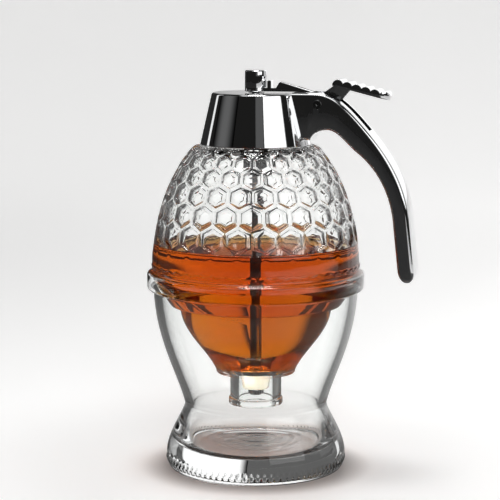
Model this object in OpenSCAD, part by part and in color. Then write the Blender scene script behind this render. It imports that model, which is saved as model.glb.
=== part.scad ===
// Honey dispenser: a glass jar with a honeycomb relief hangs in a waisted glass stand.
// A thumb lever on the chromed lid lifts a plunger, and its stopper opens the spout below.
// The origin is the centre of the foot, on the table. The handle points along +X.

/* [Stand] */
// Height of the stand's rim above the table
stand_h = 70.4; // [66:0.1:76]
// Outer radius of the rim
stand_rim_r = 39.5; // [38:0.1:41]
// Thickness of the stand's glass wall
stand_wall = 3; // [2.4:0.1:3.4]
// Outer radius of the waist
waist_r = 27.6; // [25:0.1:31]
// Height of the waist above the table
waist_z = 25.5; // [22:0.1:29]
// Largest radius of the foot
foot_r = 34.8; // [33:0.1:37]
// Radius of the flat that rests on the table
foot_flat_r = 32; // [28:0.1:32.5]
// Height of the foot's widest ring
foot_belly_z = 6; // [5:0.1:7]
// Thickness of the glass round the foot
base_wall = 6.6; // [5:0.1:8]
// Thickness of the stand's floor
floor_t = 7.7; // [5:0.1:9]

/* [Jar] */
// Outer radius of the flange that sits on the rim
flange_r = 42; // [41.2:0.1:44]
// Height of the flange's straight edge
flange_t = 6.2; // [4.5:0.1:8]
// Thickness of the jar's glass wall
jar_wall = 3; // [2.4:0.1:3.4]
// Height of the plug that centres the jar in the rim
plug_h = 6; // [4:0.1:8]
// Taper of the plug from its top to its bottom, on the radius
plug_taper = 3.3; // [2:0.1:4]
// Radius of the bowl under the plug
bowl_r = 29.3; // [27:0.1:30]
// Depth of the bowl's flat bottom under the flange
bowl_depth = 32.4; // [30:0.1:36]
// Radius of the bowl's flat bottom
bowl_bottom_r = 15.4; // [13:0.1:17]
// Thickness of the bowl's floor
bowl_floor_t = 3.2; // [2.5:0.1:4]
// Radius of the dome where it leaves the flange
dome_r = 40; // [38.5:0.1:41]
// Height of the dome's shoulder above the flange's underside
shoulder_h = 55.3; // [52:0.1:58]
// Half height of the ellipse that the dome follows
dome_rise = 59.2; // [58.5:0.1:64]
// Thickness of the neck's glass
neck_wall = 2.8; // [2.2:0.1:3.2]

/* [Spout] */
// Outer radius of the spout
spout_r = 10; // [9:0.1:11]
// Bore radius of the spout
spout_bore_r = 6.6; // [6:0.1:7.2]
// Length of the spout under the bowl
spout_h = 12.6; // [9:0.1:14]
// Width that the spout's lip stands proud
lip_proud = 0.5; // [0.3:0.1:1]
// Height of the spout's lip
lip_h = 2.6; // [1.5:0.1:4]

/* [Honeycomb] */
// Cells in one ring of the relief
comb_cells = 24; // [20:1:28]
// Rings of cells, counted from the flange up
comb_rows = 6; // [4:1:6]
// Height of the lowest ring's centres above the flange's underside
comb_first_z = 23.1; // [22:0.1:25]
// Width of the raised rib between two cells
comb_rib = 1.7; // [1.2:0.1:2.2]
// Depth of a cell's face under the ribs
comb_depth = 0.8; // [0.5:0.1:1]

/* [Lid] */
// Height of the lid
lid_h = 19.7; // [18:0.1:22]
// Outer radius of the lid's top
lid_top_r = 16.8; // [16.6:0.1:18]
// How far the lid's lower edge stands outside its top
lid_flare = 4.5; // [4:0.1:5.2]
// Thickness of the lid's wall, measured on the radius
lid_wall = 1.25; // [1:0.05:1.4]
// Thickness of the lid's top plate
lid_plate = 1.2; // [1:0.1:1.5]
// Radius of the lid's top edge
lid_edge = 0.8; // [0.4:0.1:1]
// Thickness of the liner's disc
liner_t = 1.5; // [1.2:0.1:2]
// Distance from the lid's top edge in to the outside of the jar's neck
neck_in = 2.4; // [2.3:0.1:3]
// Wall of the liner's threaded sleeve
liner_wall = 1.25; // [1:0.05:1.3]
// Thickness of the neck gasket
gasket_t = 1.5; // [1:0.1:2]

/* [Handle] */
// Width of the handle
handle_w = 14.5; // [13.5:0.1:16]
// Height of the handle's top face above the lid
handle_rise = 0.3; // [0.2:0.1:0.6]
// Distance from the axis to the start of the bend
bend_x = 24; // [23:0.1:26]
// Distance from the axis to the outer face halfway down the bend
bow_x = 42.9; // [41:0.1:45]
// Drop of that point under the top face
bow_drop = 12.7; // [11:0.1:15]
// Distance from the axis to the top of the straight grip
grip_x = 60.1; // [58:0.1:64]
// Drop of the grip's top under the top face
grip_drop = 46.7; // [44:0.1:52]
// Length of the straight grip
grip_len = 20; // [16:0.1:24]
// How far the grip leans outwards over its length
grip_lean = 2.1; // [0:0.1:4]
// Thickness of the grip
grip_t = 6.1; // [5:0.1:8]
// Length of the grip's rounded end
grip_end = 4.4; // [3:0.1:5]
// Rounding of the handle's long edges
handle_edge = 1.3; // [0.8:0.1:1.6]
// Crown of the handle's outer face
handle_crown = 0.4; // [0.2:0.1:0.8]
// Depth of the handle's root on the lid, under the top face
root_depth = 17.7; // [16.8:0.1:18.2]
// Distance from the axis to the top of the finger arch
arch_x = 29; // [28:0.1:30]
// Drop of the finger arch's top under the top face
arch_drop = 13.8; // [13:0.1:14.4]
// Radius of a handle screw's shank
screw_r = 1.2; // [1:0.05:1.3]

/* [Lever] */
// Distance from the axis to the lever's pin
pivot_x = 25.2; // [24.6:0.1:25.8]
// Drop of the pin under the handle's top face
pivot_drop = 4.1; // [4:0.1:4.4]
// Radius of the pin
pin_r = 1.25; // [1:0.05:1.5]
// Radius of the boss round the pin
boss_r = 3.4; // [3:0.1:3.6]
// Width of the lever's web and fork
web_w = 5.4; // [5.2:0.1:6]
// Thickness of the lever's tongue
tongue_t = 1.3; // [1:0.1:1.4]
// Width of the thumb pad
pad_w = 12; // [10:0.1:14]
// Slope of the thumb pad, in degrees
pad_slope = 14; // [12:0.5:15]
// Height of the pad's inner end above the handle's top face
pad_rise = 2.9; // [2.6:0.1:3.4]
// Ridges across the thumb pad
pad_ridges = 6; // [4:1:7]
// Distance between two ridges
ridge_pitch = 3.6; // [3.2:0.1:3.8]
// Radius of a ridge
ridge_r = 2.1; // [2:0.1:2.4]

/* [Plunger] */
// Radius of the plunger rod
rod_r = 1.5; // [1.3:0.05:1.6]
// Radius of the knob
knob_r = 4.2; // [4.1:0.1:5]
// Height of the knob
knob_h = 8.1; // [7:0.1:10]
// Lift of the plunger when the lever is pressed
plunger_lift = 4.25; // [3:0.05:4.5]
// Height of the stopper's seat above the bore, which is cut at 45 degrees
seat_h = 2.6; // [2:0.1:2.8]
// Length of the stopper's nose under the seat
nose_h = 7; // [5:0.1:8]

/* [Guide and spring] */
// Outer radius of the guide tube's mouth
guide_r = 4.7; // [4.6:0.1:5.4]
// Outer radius of the guide tube under its flange
guide_root_r = 6.2; // [5.8:0.1:7]
// Length of the guide tube under its flange
guide_h = 25.5; // [22:0.1:28]
// Bore radius of the guide tube's spring chamber
chamber_r = 3.6; // [3.4:0.1:3.8]
// Height of the spring chamber
chamber_h = 12; // [8:0.1:14]
// Length of the spring, closed stopper
spring_h = 24.5; // [20:0.1:28]
// Middle radius of the spring's coil
spring_r = 2.55; // [2.4:0.05:2.7]
// Diameter of the spring wire
wire_d = 0.7; // [0.5:0.05:0.8]
// Turns of the spring
spring_turns = 9; // [7:1:10]

/* [Hidden] */
$fn = 96;

// clearances
seat_gap = 0.05;     // faces that rest on each other
slip_gap = 0.35;     // loose parts that lift out, on the radius
side_gap = 0.4;      // lever in its slot, on each side
run_gap = 0.06;      // shaft in its bore, on the radius
stopper_gap = 0.2;   // stopper from its seat, square to the cone
thread_gap = 0.4;    // neck in the liner, on the radius
seal_gap = 0.1;      // gasket from the neck and from the liner
fork_gap = 0.25;     // fork under the knob's slot

// levels of the jar
flange_z = stand_h + seat_gap;
plug_r = stand_rim_r - stand_wall - 1.2 * slip_gap;
plug_z = flange_z - plug_h;
bowl_z = flange_z - bowl_depth;
spout_z = bowl_z - spout_h;
bowl_floor_z = bowl_z + bowl_floor_t;
dome_z = flange_z + flange_t + 1.4;
shoulder_z = flange_z + shoulder_h;
neck_r = lid_top_r - neck_in;
neck_bore_r = neck_r - neck_wall;

// levels of the lid
lid_r = lid_top_r + lid_flare;
lid_z = shoulder_z + slip_gap;
lid_top = lid_z + lid_h;
plate_z = lid_top - lid_plate;
disc_z = plate_z - seat_gap - liner_t;
neck_top = disc_z - gasket_t - 2 * seal_gap;
sleeve_r = neck_r + thread_gap;
spigot_r = 2 * rod_r;
handle_top = lid_top + handle_rise;

// levels of the lever and the plunger
pivot_z = handle_top - pivot_drop;
knob_z = lid_top + slip_gap;
tongue_z = lid_top + slip_gap + 0.2;
tongue_top = tongue_z + tongue_t;
knob_slot_top = tongue_top + fork_gap;
fork_x = -(rod_r + 0.2);
notch_w = 2 * (rod_r + side_gap);
slot_w = web_w + 2 * side_gap;
rod_top = knob_z + knob_h - 2.2;
seat_z = bowl_floor_z - seat_h;
seat_r = spout_bore_r + seat_h;
cone_z = seat_z + stopper_gap * sqrt(2);
stopper_top = bowl_floor_z + 2.2;
nose_z = seat_z - nose_h;

// levels of the guide tube and the spring
flange_under = disc_z - 1.4;
guide_z = flange_under - guide_h;
chamber_top = guide_z + chamber_h;
spring_z = chamber_top - spring_h;
washer_t = 0.8;
washer_z = spring_z - seat_gap - washer_t;
clip_t = 0.5;
clip_z = washer_z - seat_gap - clip_t;
groove_r = rod_r - 0.35;

function bez(p, t) = pow(1 - t, 3) * p[0] + 3 * t * pow(1 - t, 2) * p[1]
                   + 3 * t * t * (1 - t) * p[2] + pow(t, 3) * p[3];
// n steps along a cubic curve, without its last point
function curve(p, n) = [for (i = [0 : n - 1]) bez(p, i / n)];
function dome_at(z, r, rise) = r * sqrt(max(0, 1 - pow((z - dome_z) / rise, 2)));
function lid_at(z) = lid_r + (lid_top_r - lid_r) * (z - lid_z) / lid_h;

// a flat outline in the plane of the handle, made w wide
module upright(w) rotate([90, 0, 0]) linear_extrude(w, center = true) children();
// a round piece from its points of radius and height
module turned(points) rotate_extrude() polygon(points);
module ring(z, h, r_in, r_out) {
    translate([0, 0, z]) linear_extrude(h) difference() {
        circle(r_out);
        circle(r_in);
    }
}

/* Stand */
// the glass is thicker towards the foot, so the inside follows its own curve
function stand_curve(inset, base_inset, end_z, n) = concat(
    curve([[foot_r - base_inset, end_z], [foot_r - base_inset, end_z + 7],
           [waist_r - inset, waist_z - 3.5], [waist_r - inset, waist_z]], n),
    curve([[waist_r - inset, waist_z], [waist_r - inset + 2.4, waist_z + 10.5],
           [stand_rim_r - inset - 0.7, stand_h - 20.4], [stand_rim_r - inset, stand_h - 0.9]], n));
module stand() {
    inner_end = floor_t + 4;
    outer = concat(
        curve([[foot_flat_r, 0], [foot_flat_r + 0.8 * (foot_r - foot_flat_r), 0.2],
               [foot_r, foot_belly_z - 3], [foot_r, foot_belly_z]], 5),
        stand_curve(0, 0, foot_belly_z, 10),
        [[stand_rim_r, stand_h - 0.9], [stand_rim_r - 0.6, stand_h]]);
    inner = concat(
        curve([[foot_r - base_wall - 6, floor_t], [foot_r - base_wall - 2, floor_t],
               [foot_r - base_wall, floor_t + 1.5], [foot_r - base_wall, inner_end]], 5),
        stand_curve(stand_wall, base_wall, inner_end, 10),
        [[stand_rim_r - stand_wall, stand_h - 0.9], [stand_rim_r - stand_wall + 0.5, stand_h]]);
    back = [for (i = [len(inner) - 1 : -1 : 0]) inner[i]];
    color("aliceblue", 0.5) turned(concat([[0, 0]], outer, back, [[0, floor_t]]));
}

/* Jar */
function jar_outer() = concat(
    [[spout_r + lip_proud - 0.6, spout_z], [spout_r + lip_proud, spout_z + 0.6],
     [spout_r + lip_proud, spout_z + lip_h - 0.4], [spout_r, spout_z + lip_h],
     [spout_r, bowl_z - 0.8], [spout_r + 0.8, bowl_z],
     [bowl_bottom_r - 0.6, bowl_z], [bowl_bottom_r, bowl_z + 0.6]],
    curve([[bowl_bottom_r, bowl_z + 1], [bowl_bottom_r + 3.6, bowl_z + 9],
           [bowl_r - 0.3, plug_z - 10.4], [bowl_r, plug_z - 0.6]], 10),
    [[bowl_r, plug_z - 0.6], [bowl_r + 0.6, plug_z], [plug_r - plug_taper, plug_z],
     [plug_r, flange_z - 1], [plug_r, flange_z],
     [flange_r - 0.9, flange_z], [flange_r - 0.3, flange_z + 0.3], [flange_r, flange_z + 1],
     [flange_r, flange_z + flange_t - 1.2], [flange_r - 0.4, flange_z + flange_t - 0.4]],
    curve([[flange_r - 0.9, flange_z + flange_t], [flange_r - 1.5, flange_z + flange_t + 0.5],
           [dome_r, dome_z + 0.2], [dome_at(dome_z + 3, dome_r, dome_rise), dome_z + 3]], 3),
    [for (i = [0 : 13])
        let (z = dome_z + 3 + (shoulder_z - 0.8 - dome_z - 3) * sin(i * 90 / 13))
        [dome_at(z, dome_r, dome_rise), z]],
    [[dome_at(shoulder_z, dome_r, dome_rise) - 0.8, shoulder_z],
     [neck_r + 0.8, shoulder_z], [neck_r, shoulder_z + 0.8],
     [neck_r, neck_top - 0.6], [neck_r - 0.6, neck_top]]);
function jar_inner() = let (
        r = dome_r - jar_wall, rise = dome_rise - jar_wall, under = shoulder_z - jar_wall,
        plug_in = bowl_r - jar_wall - 0.3, low = plug_z - 6.4)
    concat(
    [[neck_bore_r + 0.5, neck_top], [neck_bore_r, neck_top - 0.5],
     [neck_bore_r, under + 0.8], [neck_bore_r + 0.8, under]],
    [for (i = [12 : -1 : 1])
        let (z = dome_z + 2 + (under - 0.6 - dome_z - 2) * sin(i * 90 / 12))
        [dome_at(z, r, rise), z]],
    curve([[r, dome_z + 2], [r, flange_z - 4], [plug_in, flange_z - 0.4], [plug_in, low]], 10),
    curve([[plug_in, low], [plug_in - 1, low - 6], [seat_r + 6, bowl_floor_z + 5],
           [seat_r + 1.2, bowl_floor_z]], 8),
    [[seat_r + 1.2, bowl_floor_z], [seat_r, bowl_floor_z], [spout_bore_r, seat_z],
     [spout_bore_r, spout_z + 0.4], [spout_bore_r + 0.4, spout_z]]);

// the rows climb the dome by the height of a regular honeycomb
function comb_z(row) = row == 0 ? flange_z + comb_first_z
    : let (z = comb_z(row - 1), r = dome_at(z, dome_r, dome_rise), lean = dome_lean(z))
      z + 0.85 * 2 * PI * r / comb_cells * cos(lean) * (1 - 0.35 * sin(lean) / comb_cells * 10);
// angle between the wall and the vertical
function dome_lean(z) = atan(pow(dome_r / dome_rise, 2) * (z - dome_z)
                             / dome_at(z, dome_r, dome_rise));
comb_phase = 3;
module comb_pockets() {
    for (row = [0 : comb_rows - 1])
        let (z = comb_z(row), r = dome_at(z, dome_r, dome_rise),
             pitch = 2 * PI * r / comb_cells)
        for (i = [0 : comb_cells - 1])
            rotate([0, 0, comb_phase + (i + (row % 2) / 2) * 360 / comb_cells])
            translate([r, 0, z]) rotate([0, 90 - dome_lean(z), 0])
            translate([0, 0, -comb_depth]) linear_extrude(comb_depth + 3)
                circle(r = (pitch - comb_rib) / sqrt(3), $fn = 6);
}
module jar() {
    color("lightyellow", 0.5) difference() {
        turned(concat(jar_outer(), jar_inner()));
        comb_pockets();
    }
}
module neck_gasket() {
    color("white") ring(neck_top + seal_gap, gasket_t, neck_bore_r + 0.3, neck_r - 0.1);
}

/* Lid */
module lid_shell() {
    inner_top = lid_at(plate_z) - lid_wall;
    color("silver") difference() {
        turned([[0, plate_z], [inner_top, plate_z], [lid_r - lid_wall, lid_z],
                [lid_r - 0.3, lid_z], [lid_r, lid_z + 0.3],
                [lid_at(lid_top - lid_edge), lid_top - lid_edge],
                [lid_top_r - 0.3 * lid_edge, lid_top - 0.3 * lid_edge],
                [lid_top_r - lid_edge, lid_top], [0, lid_top]]);
        translate([0, 0, plate_z - 1]) cylinder(r = spigot_r + seat_gap, h = lid_plate + 2);
        screw_places() cylinder(r = screw_r + 0.15, h = 40);
    }
}
flange_liner_z = lid_z + 1.4;
module lid_liner() {
    wall_in = lid_wall + seat_gap;
    shelf = flange_liner_z + 1.5;
    color("dimgray") turned([
        [spigot_r + seat_gap, disc_z], [sleeve_r, disc_z],
        [sleeve_r, flange_liner_z], [lid_at(flange_liner_z) - wall_in, flange_liner_z],
        [lid_at(shelf) - wall_in, shelf], [sleeve_r + liner_wall, shelf],
        [sleeve_r + liner_wall, disc_z + 0.2],
        [lid_at(plate_z) - wall_in - 0.1, disc_z + 0.2],
        [lid_at(plate_z) - wall_in - 0.1, disc_z + liner_t],
        [spigot_r + seat_gap, disc_z + liner_t]]);
}
module guide_tube() {
    color("darkslategray") turned([
        [rod_r + run_gap, lid_top], [spigot_r - 0.4, lid_top], [spigot_r, lid_top - 0.4],
        [spigot_r, disc_z - seat_gap], [guide_root_r + 1.2, disc_z - seat_gap],
        [guide_root_r + 1.2, flange_under], [guide_root_r, flange_under],
        [guide_r + 0.1, guide_z + 0.6], [guide_r - 0.4, guide_z],
        [chamber_r, guide_z], [chamber_r, chamber_top], [rod_r + run_gap, chamber_top]]);
}

/* Handle */
// two screws hold the root against the lid, one on each side of the lever
screw_z = handle_top - 11.2;
screw_turn = 11;
screw_head_r = 1.9;
screw_head_h = 1.1;
screw_seat = lid_at(screw_z + screw_head_r) - lid_wall - screw_head_h - 4 * seat_gap;
screw_end = lid_at(screw_z) + 5.6;
module screw_places() {
    for (side = [-1, 1])
        rotate([0, 0, side * screw_turn]) translate([0, 0, screw_z]) rotate([0, 90, 0])
            children();
}
outer_bow = [bow_x, handle_top - bow_drop];
outer_grip = [grip_x, handle_top - grip_drop];
outer_end = outer_grip + [grip_lean, -grip_len];
inner_arch = [arch_x, handle_top - arch_drop];
inner_bow = outer_bow + [-3.5, -8.8];
inner_grip = outer_grip - [grip_t, 0.5];
inner_end = outer_end - [grip_t, 0];
root_x = lid_r + 1.2;
// the outer and the inner line of the handle, point for point
function handle_outer() = concat(
    [[lid_top_r - 5, handle_top], [lid_top_r + 2, handle_top]],
    curve([[bend_x, handle_top], [bend_x + 7, handle_top],
           outer_bow + [-6.7, 7.6], outer_bow], 8),
    curve([outer_bow, outer_bow + [6.6, -7.5], outer_grip + [-1.5, 15.1], outer_grip], 8),
    [outer_grip, outer_end]);
function handle_inner() = concat(
    [[lid_top_r - 5, handle_top - root_depth], [root_x - 2, handle_top - root_depth]],
    curve([[root_x, handle_top - root_depth], [root_x + 0.8, handle_top - root_depth + 2.5],
           inner_arch - [3.2, 0], inner_arch], 4),
    curve([inner_arch, inner_arch + [3.2, 0], inner_bow + [-4.2, 3.9], inner_bow], 4),
    curve([inner_bow, inner_bow + [7.4, -5.4], inner_grip + [-1.5, 11.6], inner_grip], 8),
    [inner_grip, inner_end]);
// half of the rounded outline of a section, for positive w; v runs from the inner face
function half_section(thick, half_w, edge) = concat(
    [[0, 0]],
    [for (a = [-90 : 30 : 0]) [half_w - edge + edge * cos(a), edge + edge * sin(a)]],
    [for (a = [0 : 30 : 90]) [half_w - edge + edge * cos(a), thick - edge + edge * sin(a)]],
    [[(half_w - edge) * 0.55, thick + 0.7 * handle_crown]]);
function section(outer, inner, half_w, edge) = let (
        span = outer - inner, thick = norm(span), up = span / thick,
        half = half_section(thick, half_w, edge),
        far = [for (i = [len(half) - 1 : -1 : 1]) [-half[i][0], half[i][1]]],
        loop = concat(half, [[0, thick + handle_crown]], far))
    [for (q = loop) [inner[0] + up[0] * q[1], q[0], inner[1] + up[1] * q[1]]];
module handle_body() {
    outer = handle_outer();
    inner = handle_inner();
    axis_end = (outer_end + inner_end) / 2;
    down = (outer_end - outer_grip) / norm(outer_end - outer_grip);
    sections = concat(
        [for (i = [0 : len(outer) - 1]) section(outer[i], inner[i], handle_w / 2, handle_edge)],
        // the grip's end is rounded off in four steps
        [for (a = [25, 50, 70, 84]) let (
                shift = down * grip_end * sin(a), half = (outer_end - axis_end) * cos(a))
            section(axis_end + shift + half, axis_end + shift - half,
                    handle_w / 2 - 0.9 * (1 - cos(a)) * grip_end / 2, handle_edge * cos(a))]);
    n = len(sections[0]);
    last = len(sections) - 1;
    sides = [for (i = [0 : last - 1], j = [0 : n - 1]) let (
            a = i * n + j, b = i * n + (j + 1) % n)
        each [[a, a + n, b], [b, a + n, b + n]]];
    caps = [for (j = [1 : n - 2]) each
        [[0, j, j + 1], [last * n, last * n + j + 1, last * n + j]]];
    polyhedron([for (s = sections) each s], concat(sides, caps), convexity = 6);
}
slot_floor = pivot_z - boss_r - 0.6;
module lever_slot() {
    end = outer_bow + [1.6, -1.2];
    deep = [-6.2, -5.6];
    upright(slot_w) polygon([
        [lid_top_r - 6, handle_top + 3], [lid_top_r - 6, lid_top - 2.6],
        [pivot_x - 6, lid_top - 2.6], [pivot_x - 4.6, slot_floor],
        [pivot_x + 5.5, slot_floor], end + deep, end, end + [2, 3],
        [bow_x - 3, handle_top + 3]]);
}
module handle() {
    color("gainsboro") difference() {
        handle_body();
        // the root is cut to the cone of the lid
        translate([0, 0, lid_z - 5]) cylinder(r1 = lid_at(lid_z - 5) + seat_gap,
                                              r2 = lid_at(lid_top + 4) + seat_gap, h = lid_h + 9);
        lever_slot();
        translate([pivot_x, 0, pivot_z]) rotate([90, 0, 0])
            cylinder(r = pin_r, h = handle_w + 4, center = true);
        screw_places() cylinder(r = screw_r + 0.05, h = screw_end + 0.4);
    }
}
module handle_screws() {
    color("gray") screw_places() {
        translate([0, 0, screw_seat]) cylinder(r = screw_head_r, h = screw_head_h);
        translate([0, 0, screw_seat + 0.5]) cylinder(r = screw_r, h = screw_end - screw_seat - 0.5);
    }
}
module lever_pin() {
    head_r = pin_r + 0.4;
    color("darkgray") translate([pivot_x, 0, pivot_z]) rotate([90, 0, 0]) difference() {
        union() {
            cylinder(r = pin_r - 0.01, h = handle_w + 0.1, center = true);
            for (side = [0, 180]) rotate([side, 0, 0])
                translate([0, 0, handle_w / 2 + 0.01]) cylinder(r1 = head_r, r2 = head_r - 0.2, h = 0.35);
        }
        for (side = [0, 180]) rotate([side, 0, 0])
            translate([0, 0, handle_w / 2 + 0.15]) cylinder(r1 = 0.3, r2 = 0.7, h = 0.3);
    }
}

/* Lever */
// the pad's underside starts at its inner end and falls outwards
pad_start = [pivot_x + 5.5, handle_top + pad_rise];
pad_len = (pad_ridges - 1) * ridge_pitch + 1.9 + ridge_r;
function on_pad(along, up) = pad_start + [along * cos(pad_slope) + up * sin(pad_slope),
                                          up * cos(pad_slope) - along * sin(pad_slope)];
module lever_web() {
    upright(web_w) difference() {
        union() {
            translate([pivot_x, pivot_z]) circle(boss_r);
            polygon([
                [fork_x, tongue_z], [lid_top_r + 0.5, tongue_z], [pivot_x - 4.4, lid_top - 2.2],
                [pivot_x - 2.6, pivot_z - boss_r + 1.1], [pivot_x + 2.6, pivot_z - boss_r + 1.1],
                [pivot_x + 6.6, pivot_z - 0.4], [pivot_x + 9.2, pivot_z + 2.2],
                on_pad(6.6, 0), on_pad(6, 1), on_pad(0.6, 1), on_pad(0.1, 0),
                [pivot_x + 1.6, handle_top], [pivot_x - 1, handle_top - 0.6],
                [pivot_x - 3.8, handle_top + 0.5], [9.8, tongue_top + 2.4], [8.4, tongue_top],
                [6.5, tongue_top], [6.5, tongue_top + 2.5], [6.2, tongue_top + 2.8],
                [5.3, tongue_top + 2.8], [5, tongue_top + 2.5], [5, tongue_top],
                [fork_x + 0.3, tongue_top], [fork_x, tongue_top - 0.3]]);
        }
        translate([pivot_x, pivot_z]) circle(pin_r + run_gap);
    }
}
module lever_pad() {
    intersection() {
        upright(pad_w) union() {
            for (i = [0 : pad_ridges - 1])
                translate(on_pad(1.9 + i * ridge_pitch, 0.65)) intersection() {
                    circle(ridge_r, $fn = 48);
                    rotate(-pad_slope) translate([-ridge_r, -0.65]) square([2 * ridge_r, 4]);
                }
            polygon([on_pad(0, 0), on_pad(pad_len, 0), on_pad(pad_len, 1.4), on_pad(0.9, 1.4)]);
        }
        // seen from above the pad ends in a round nose
        translate([0, 0, handle_top - 12]) linear_extrude(30) hull() {
            for (side = [-1, 1])
                translate([on_pad(pad_len, 0)[0] - 4, side * (pad_w / 2 - 4)]) circle(4, $fn = 48);
            translate([pad_start[0] - 1, -pad_w / 2]) square([2, pad_w]);
        }
    }
}
module lever() {
    color("gainsboro") difference() {
        union() {
            lever_web();
            lever_pad();
        }
        // the fork's notch lets the rod through
        translate([fork_x - 2, -notch_w / 2, tongue_z - 2])
            cube([rod_r + 1.4 - fork_x + 2, notch_w, tongue_t + 4]);
    }
}

/* Plunger */
module knob() {
    slot = web_w / 2 + slip_gap;
    color("silver") difference() {
        turned([[0, knob_z], [knob_r - 0.3, knob_z], [knob_r, knob_z + 0.3],
                [knob_r, knob_z + knob_h - 0.4], [knob_r - 0.4, knob_z + knob_h],
                [0, knob_z + knob_h]]);
        translate([0, 0, knob_z - 1]) cylinder(r = rod_r + 0.01, h = rod_top - knob_z + 1);
        translate([fork_x - 0.6, -slot, knob_z - 1])
            cube([knob_r + 4, 2 * slot, knob_slot_top - knob_z + 1]);
    }
}
module plunger_rod() {
    color("gray") turned([
        [0, nose_z - 1.6], [rod_r - 0.3, nose_z - 1.6], [rod_r, nose_z - 1.3],
        [rod_r, clip_z - 0.05], [groove_r, clip_z - 0.05],
        [groove_r, clip_z + clip_t + 0.05], [rod_r, clip_z + clip_t + 0.05],
        [rod_r, rod_top - 0.3], [rod_r - 0.3, rod_top], [0, rod_top]]);
}
module spring_washer() {
    color("silver") ring(washer_z, washer_t, rod_r + 0.05, spring_r + wire_d / 2 + 0.5);
}
// an E-shaped clip in the rod's groove
module spring_clip() {
    color("silver") translate([0, 0, clip_z]) linear_extrude(clip_t) difference() {
        circle(2 * rod_r);
        circle(groove_r + 0.02);
        translate([groove_r * 0.2, -groove_r * 0.85]) square([3 * rod_r, 1.7 * groove_r]);
        for (side = [-1, 1]) rotate(side * 100) translate([rod_r + 0.25, 0]) circle(0.45);
    }
}
module stopper_collar() {
    z = stopper_top + seat_gap;
    color("silver") turned([
        [rod_r + 0.01, z], [2.9, z], [2.9, z + 1.2], [2.3, z + 2], [rod_r + 0.01, z + 2]]);
}
module stopper() {
    color("whitesmoke") turned([
        [rod_r + 0.01, nose_z], [spout_bore_r - 2.2, nose_z],
        [spout_bore_r - 1.6, nose_z + 0.6], [spout_bore_r - 0.6, seat_z - 0.2],
        [spout_bore_r - 0.1, cone_z - 0.1],
        [seat_r - 0.4, cone_z + seat_h - 0.4], [seat_r - 0.4, cone_z + seat_h + 0.3],
        [seat_r - 1.4, cone_z + seat_h + 0.8], [3.6, stopper_top], [rod_r + 0.01, stopper_top]]);
}
module stopper_nut() {
    color("silver") translate([0, 0, nose_z - seat_gap - 2.4]) difference() {
        intersection() {
            cylinder(r = 3.1, h = 2.4, $fn = 6);
            turned([[0, 0], [2, 0], [3.1, 0.8], [3.1, 2.4], [0, 2.4]]);
        }
        translate([0, 0, 0.8]) cylinder(r = rod_r + 0.01, h = 3);
    }
}

/* Return spring */
// an open coil whose two end turns lie close, as one unbroken wire
coil_low = spring_z + wire_d / 2 + seat_gap;
coil_high = chamber_top - wire_d / 2 - seat_gap;
end_pitch = wire_d + 0.5;
mid_pitch = (coil_high - coil_low - 2 * end_pitch) / (spring_turns - 2);
function coil_z(turn) = coil_low + (turn < 1 ? turn * end_pitch
    : turn > spring_turns - 1 ? end_pitch + mid_pitch * (spring_turns - 2)
                                + end_pitch * (turn - spring_turns + 1)
    : end_pitch + mid_pitch * (turn - 1));
coil_steps = 8 * spring_turns;
function coil_at(i) = let (turn = i / 8)
    [spring_r * cos(360 * turn), spring_r * sin(360 * turn), coil_z(turn)];
coil_points = [for (i = [0 : coil_steps]) coil_at(i)];
coil_gap = min([for (i = [0 : coil_steps - 5], j = [i + 5 : coil_steps])
                norm(coil_points[i] - coil_points[j])]) - wire_d;
echo(least_gap_between_spring_turns = coil_gap);
module return_spring() {
    sides = 6;
    rings = [for (i = [0 : coil_steps]) let (
            turn = 360 * i / 8, away = [cos(turn), sin(turn), 0], up = [0, 0, 1])
        [for (k = [0 : sides - 1]) coil_points[i]
            + wire_d / 2 * (cos(360 * k / sides) * away + sin(360 * k / sides) * up)]];
    faces = [for (i = [0 : coil_steps - 1], k = [0 : sides - 1]) let (
            a = i * sides + k, b = i * sides + (k + 1) % sides)
        each [[a, a + sides, b], [b, a + sides, b + sides]]];
    top = coil_steps * sides;
    caps = [for (k = [1 : sides - 2]) each [[0, k, k + 1], [top, top + k + 1, top + k]]];
    color("lightgray") polyhedron([for (r = rings) each r], concat(faces, caps), convexity = 10);
}

stand();
jar();
neck_gasket();
lid_shell();
lid_liner();
guide_tube();
handle();
handle_screws();
lever_pin();
lever();
knob();
plunger_rod();
return_spring();
spring_washer();
spring_clip();
stopper_collar();
stopper();
stopper_nut();
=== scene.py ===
import math

import bmesh
import bpy
import numpy as np
from mathutils import Matrix, Vector


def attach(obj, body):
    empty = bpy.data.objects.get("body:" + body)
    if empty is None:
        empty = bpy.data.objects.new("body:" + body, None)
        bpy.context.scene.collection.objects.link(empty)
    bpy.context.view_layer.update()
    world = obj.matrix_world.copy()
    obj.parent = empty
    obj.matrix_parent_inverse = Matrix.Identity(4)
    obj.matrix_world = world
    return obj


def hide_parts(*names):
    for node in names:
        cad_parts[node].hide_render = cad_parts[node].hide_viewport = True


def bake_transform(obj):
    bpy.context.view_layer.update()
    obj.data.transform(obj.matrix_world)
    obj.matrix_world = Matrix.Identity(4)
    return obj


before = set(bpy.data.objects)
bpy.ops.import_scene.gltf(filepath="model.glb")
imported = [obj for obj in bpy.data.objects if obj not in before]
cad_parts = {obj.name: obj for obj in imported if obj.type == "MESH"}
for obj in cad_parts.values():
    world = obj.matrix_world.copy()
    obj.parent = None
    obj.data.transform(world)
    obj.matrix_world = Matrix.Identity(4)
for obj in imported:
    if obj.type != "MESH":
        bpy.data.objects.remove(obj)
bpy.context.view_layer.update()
scene = bpy.context.scene
mm = 0.001  # sizes in the dictionaries are in millimetres, as in the part

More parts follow.
